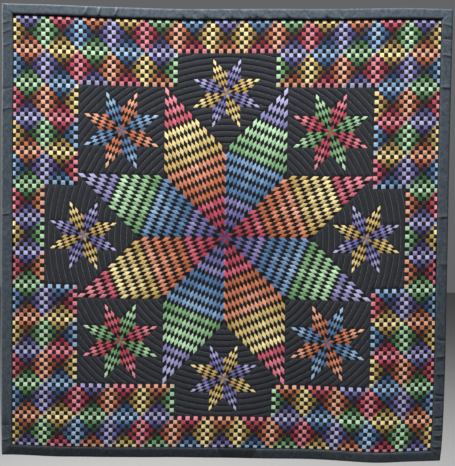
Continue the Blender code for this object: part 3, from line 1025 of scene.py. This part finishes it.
class Nodes:
    """Small helper for a material's nodes."""

    def __init__(self, name):
        self.material = bpy.data.materials.new(name)
        self.material.use_nodes = True
        self.tree = self.material.node_tree
        self.shader = self.tree.nodes["Principled BSDF"]
        self.place = self.add("ShaderNodeTexCoord").outputs["Object"]

    def add(self, kind, **settings):
        node = self.tree.nodes.new(kind)
        for key, value in settings.items():
            setattr(node, key, value)
        return node

    def link(self, source, target):
        self.tree.links.new(source, target)

    def noise(self, scale, detail):
        noise = self.add("ShaderNodeTexNoise")
        noise.inputs["Scale"].default_value = scale
        noise.inputs["Detail"].default_value = detail
        self.link(self.place, noise.inputs["Vector"])
        return noise.outputs["Fac"]

    def ranged(self, value, low, high, start=0.3, end=0.7):
        node = self.add("ShaderNodeMapRange")
        node.inputs["From Min"].default_value = start
        node.inputs["From Max"].default_value = end
        node.inputs["To Min"].default_value = low
        node.inputs["To Max"].default_value = high
        self.link(value, node.inputs["Value"])
        return node.outputs["Result"]

    def maths(self, operation, first, second):
        node = self.add("ShaderNodeMath", operation=operation)
        self.link(first, node.inputs[0])
        self.link(second, node.inputs[1])
        return node.outputs[0]

    def times(self, colour, value):
        node = self.add("ShaderNodeMix", data_type="RGBA", blend_type="MULTIPLY")
        node.inputs["Factor"].default_value = 1.0
        self.link(colour, node.inputs["A"])
        self.link(value, node.inputs["B"])
        return node.outputs["Result"]

    def yarns(self, direction):
        wave = self.add("ShaderNodeTexWave", wave_type="BANDS", bands_direction=direction)
        wave.inputs["Scale"].default_value = YARN_SCALE
        wave.inputs["Distortion"].default_value = YARN_WANDER
        wave.inputs["Detail"].default_value = 1.0
        self.link(self.place, wave.inputs["Vector"])
        return wave.outputs["Fac"]

    def plain(self, colour):
        flat = self.add("ShaderNodeRGB")
        flat.outputs["Color"].default_value = (*linear(colour), 1)
        return flat.outputs["Color"]

    def surface(self, settings):
        for key, value in settings.items():
            self.shader.inputs[key].default_value = value


def cotton(name, colour=None, second=None, mottling=0.18, weave=0.25):
    """Woven cotton: two sets of yarns, a hand-dyed unevenness, and a little fuzz.

    Its colour is the dye painted on the mesh, or the colour that is given. Where a second colour is given
    too, the cloth drifts between the two and the tones painted on the mesh shade it; on the binding these
    are partly painted shade and painted highlight.
    """
    nodes = Nodes(name)
    dyed = nodes.add("ShaderNodeVertexColor", layer_name="dye").outputs["Color"]
    base = dyed if colour is None else nodes.plain(colour)
    if second is not None:
        drift = nodes.add("ShaderNodeMix", data_type="RGBA")
        drift.inputs["B"].default_value = (*linear(second), 1)
        nodes.link(nodes.ranged(nodes.noise(*DRIFT_NOISE), 0.0, 1.0, 0.35, 0.65), drift.inputs["Factor"])
        nodes.link(base, drift.inputs["A"])
        base = nodes.times(drift.outputs["Result"], dyed)
    cloudy = nodes.ranged(nodes.noise(*CLOUDY_NOISE), 1 - mottling, 1 + mottling)
    fuzz = nodes.noise(*FUZZ_NOISE)
    worn = nodes.maths("MULTIPLY", cloudy, nodes.ranged(fuzz, 0.88, 1.12))
    nodes.link(nodes.times(base, worn), nodes.shader.inputs["Base Color"])
    yarns = nodes.maths("ADD", nodes.yarns("X"), nodes.yarns("Z"))
    bump = nodes.add("ShaderNodeBump")
    bump.inputs["Strength"].default_value = weave
    bump.inputs["Distance"].default_value = BUMP_DEPTH
    nodes.link(nodes.maths("ADD", yarns, fuzz), bump.inputs["Height"])
    nodes.link(bump.outputs["Normal"], nodes.shader.inputs["Normal"])
    nodes.surface(COTTON_SURFACE)
    return nodes.material


def thread_material():
    nodes = Nodes("quilting_thread")
    shade = nodes.ranged(nodes.noise(*THREAD_NOISE), 0.8, 1.2)
    nodes.link(nodes.times(nodes.plain(THREAD), shade), nodes.shader.inputs["Base Color"])
    nodes.surface(THREAD_SURFACE)
    return nodes.material


# The stage

FLOOR_DROP = 0.60
FLOOR_REACH = 9.0
FLOOR_COLOUR = (0.21, 0.21, 0.208)

# Columns: name, place, aimed at, size, watts, spread in degrees
LIGHTS = [
    ("key", (-0.75, -1.85, 4.6), (0.0, 0.0, -0.45), (1.4, 1.0), 300, 110),
    ("fill", (0.8, -4.2, 0.4), (0.0, 0.0, -0.8), (3.0, 2.0), 7, 180),
    ("back", (-3.0, 1.2, 1.9), (0.0, 0.0, -0.5), (1.6, 1.2), 190, 100),
]
STUDIO_COLOUR = (0.92, 0.93, 0.95)
STUDIO_STRENGTH = 0.14


def build_floor():
    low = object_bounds()[0][2] - FLOOR_DROP
    mesh = bpy.data.meshes.new("floor")
    reach = FLOOR_REACH
    corners = [(-reach, -reach, low), (reach, -reach, low), (reach, reach, low), (-reach, reach, low)]
    mesh.from_pydata(corners, [], [(0, 1, 2, 3)])
    floor = bpy.data.objects.new("floor", mesh)
    bpy.context.scene.collection.objects.link(floor)
    material = bpy.data.materials.new("pale_floor")
    material.use_nodes = True
    shader = material.node_tree.nodes["Principled BSDF"]
    shader.inputs["Base Color"].default_value = (*FLOOR_COLOUR, 1)
    shader.inputs["Roughness"].default_value = 0.9
    mesh.materials.append(material)


def area_light(name, place, target, size, watts, spread):
    lamp = bpy.data.lights.new(name, "AREA")
    lamp.shape = "RECTANGLE"
    lamp.size, lamp.size_y = size
    lamp.energy = watts
    lamp.spread = math.radians(spread)
    light = bpy.data.objects.new(name, lamp)
    bpy.context.scene.collection.objects.link(light)
    light.location = place
    light.rotation_euler = (Vector(target) - Vector(place)).to_track_quat("-Z", "Y").to_euler()


def build_lights():
    for row in LIGHTS:
        area_light(*row)
    world = bpy.data.worlds.new("studio")
    world.use_nodes = True
    background = world.node_tree.nodes["Background"]
    background.inputs["Color"].default_value = (*STUDIO_COLOUR, 1)
    background.inputs["Strength"].default_value = STUDIO_STRENGTH
    bpy.context.scene.world = world


def build_camera():
    camera = bpy.data.cameras.new("camera")
    camera.lens = LENS_MM
    camera.sensor_width = SENSOR_MM
    camera.clip_start = 0.05
    holder = bpy.data.objects.new("camera", camera)
    bpy.context.scene.collection.objects.link(holder)
    yaw, pitch, roll = (math.radians(a) for a in (CAMERA_YAW, CAMERA_PITCH, CAMERA_ROLL))
    turn = Matrix.Rotation(yaw, 4, "Z") @ Matrix.Rotation(math.pi / 2 + pitch, 4, "X")
    holder.matrix_world = Matrix.Translation(CAMERA_PLACE) @ turn @ Matrix.Rotation(-roll, 4, "Z")
    bpy.context.scene.camera = holder


def main():
    build_camera()
    build_floor()
    build_lights()
    bpy.context.scene.view_settings.view_transform = "Standard"
    patches = cotton("pieced_cotton")
    backing = cotton("backing_cotton", colour=BACKING, mottling=0.12)
    slate = cotton("slate_binding_cotton", SLATE, FADED_SLATE, mottling=0.34, weave=0.3)
    thread = thread_material()
    build_quilt(patches, backing)
    circles = arc_stitches()
    build_stitches("front_stitches", circles, 1, thread)
    build_stitches("back_stitches", circles + ditch_stitches(), -1, thread)
    for edge, length, puckers, place in edges_round():
        build_binding(edge, length, puckers, place, slate)


main()
